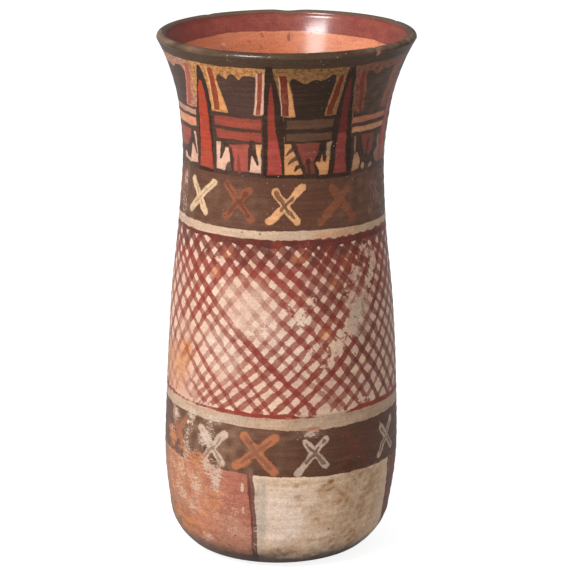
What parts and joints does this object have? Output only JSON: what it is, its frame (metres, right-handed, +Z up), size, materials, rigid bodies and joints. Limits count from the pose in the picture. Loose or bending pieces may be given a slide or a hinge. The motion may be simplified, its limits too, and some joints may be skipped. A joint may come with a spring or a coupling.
{
  "type": "earthenware vase",
  "caption": "Hand-built earthenware beaker vase with a flat base, full belly, narrow waist and outcurved mouth, slip-painted in horizontal registers.",
  "frame": {"origin": "on the resting surface, under the centre of the mouth", "axes": "+Z up through the mouth, -Y towards the side seen in the picture, +X to its right"},
  "size_m": [0.0918, 0.0918, 0.19],
  "materials": {
    "clay_body": "low-fired orange-brown clay, worn slip, matt",
    "cream_panel": "cream and red slip panels, burnished, pitted",
    "dark_band": "dark brown slip with painted crosses, burnished",
    "lattice": "cream slip under a brushed dark-red lattice, worn",
    "figured_register": "ochre ground with red, dark brown and cream painted figures, burnished",
    "lip_slip": "dark brown slip, polished, worn on the edge"
  },
  "bodies": {
    "root": {"base_dish": "clay_body", "foot_course": "cream_panel", "lower_belly_course": "dark_band", "belly_course": "lattice", "shoulder_course": "lattice", "waist_course": "dark_band", "neck_course": "figured_register", "mouth_course": "figured_register", "rim_coil": "lip_slip"}
  },
  "joints": []
}
